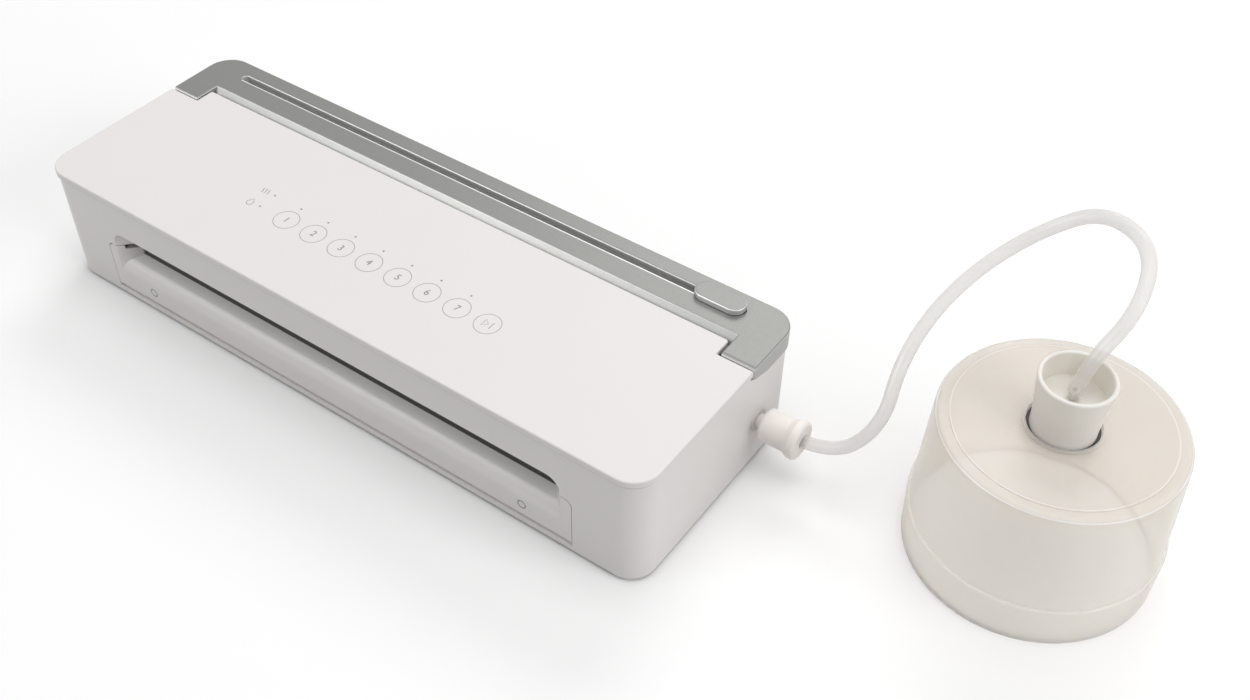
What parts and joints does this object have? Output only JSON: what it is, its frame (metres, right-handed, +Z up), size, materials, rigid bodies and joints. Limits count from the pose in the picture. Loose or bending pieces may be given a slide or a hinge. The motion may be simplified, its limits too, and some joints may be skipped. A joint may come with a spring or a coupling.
{
  "type": "vacuum sealer",
  "caption": "Long low kitchen vacuum sealer with a touch panel, a rear film cutter lid, a drop-down front flap and a hose that ends in a frosted jar bell.",
  "frame": {"origin": "on the ground below the middle of the sealer's footprint", "axes": "+X to the sealer's right along its length, +Y to the rear edge with the cutter lid, +Z up"},
  "size_m": [0.5669, 0.1965, 0.1475],
  "materials": {
    "white_gloss": "glossy white",
    "white_satin": "satin white",
    "silver_satin": "satin silver grey",
    "dark_plastic": "matt charcoal",
    "white_plastic": "natural moulded",
    "black_rubber": "matt black",
    "silicone": "milky silicone",
    "steel": "bright",
    "heater_metal": "plain",
    "tape": "woven release tape",
    "copper": "varnished wire",
    "board_green": "lacquered",
    "board_dark": "moulded",
    "lamp": "clear",
    "piston_plastic": "moulded",
    "frosted": "frosted translucent"
  },
  "bodies": {
    "housing": {"top_panel": "white_gloss", "adapter_cup": "white_gloss", "body_shell": "white_satin", "upper_jaw": "dark_plastic", "vacuum_chamber": "dark_plastic", "drip_tray": "dark_plastic", "base_plate": "dark_plastic", "push_catches": "dark_plastic", "cutting_bed": "dark_plastic", "flap_switch": "dark_plastic", "pump_frame": "white_plastic", "pump_cylinder": "white_plastic", "pump_head": "white_plastic", "vacuum_manifold": "white_plastic", "vacuum_port": "white_plastic", "rubber_feet": "black_rubber", "chamber_gasket": "black_rubber", "pump_grommets": "black_rubber", "cord_gland": "black_rubber", "cup_seal": "black_rubber", "hose": "silicone", "hose_plug": "silicone", "chamber_tube": "silicone", "port_tube": "silicone", "pump_tube": "silicone", "housing_screws": "steel", "pump_motor": "steel", "vent_valve": "steel", "touch_springs": "steel", "transformer_core": "steel", "heating_bar": "heater_metal", "heater_tape": "tape", "transformer_winding": "copper", "control_board": "board_green", "power_board": "board_green", "power_board_parts": "board_dark", "indicator_lamps": "lamp", "pump_piston": "piston_plastic"},
    "flap": {"front_flap": "white_satin", "flap_back_plate": "dark_plastic", "flap_screws": "steel", "flap_hinge_pins": "steel", "flap_pressure_strip": "black_rubber", "flap_gasket": "black_rubber", "flap_strikes": "white_plastic"},
    "lid": {"cutter_lid": "silver_satin", "lid_hinge_pins": "steel", "film_press_strip": "black_rubber", "cutter_rail": "silver_satin"},
    "cutter": {"cutter_knob": "silver_satin", "cutter_carriage": "dark_plastic", "cutter_blade": "steel", "carriage_screw": "steel"},
    "crank": {"pump_crank": "steel"},
    "jar_bell": {"bell": "frosted", "bell_gasket": "silicone"}
  },
  "joints": [
    {"name": "flap_hinge", "type": "hinge", "parent": "housing", "child": "flap", "pos_m": [0, -0.0615, 0.0082], "axis": [1, 0, 0], "range_deg": [0, 80]},
    {"name": "lid_hinge", "type": "hinge", "parent": "housing", "child": "lid", "pos_m": [0, 0.0625, 0.0618], "axis": [-1, 0, 0], "range_deg": [0, 85]},
    {"name": "cutter_slide", "type": "slide", "parent": "lid", "child": "cutter", "axis": [1, 0, 0], "range_m": [-0.3046, 0]},
    {"name": "crank_spin", "type": "hinge", "parent": "housing", "child": "crank", "pos_m": [-0.1165, 0.009, 0.024], "axis": [1, 0, 0], "continuous": true},
    {"name": "bell_swivel", "type": "hinge", "parent": "housing", "child": "jar_bell", "pos_m": [0.3184, 0.0651, 0], "axis": [0, 0, 1], "continuous": true}
  ]
}
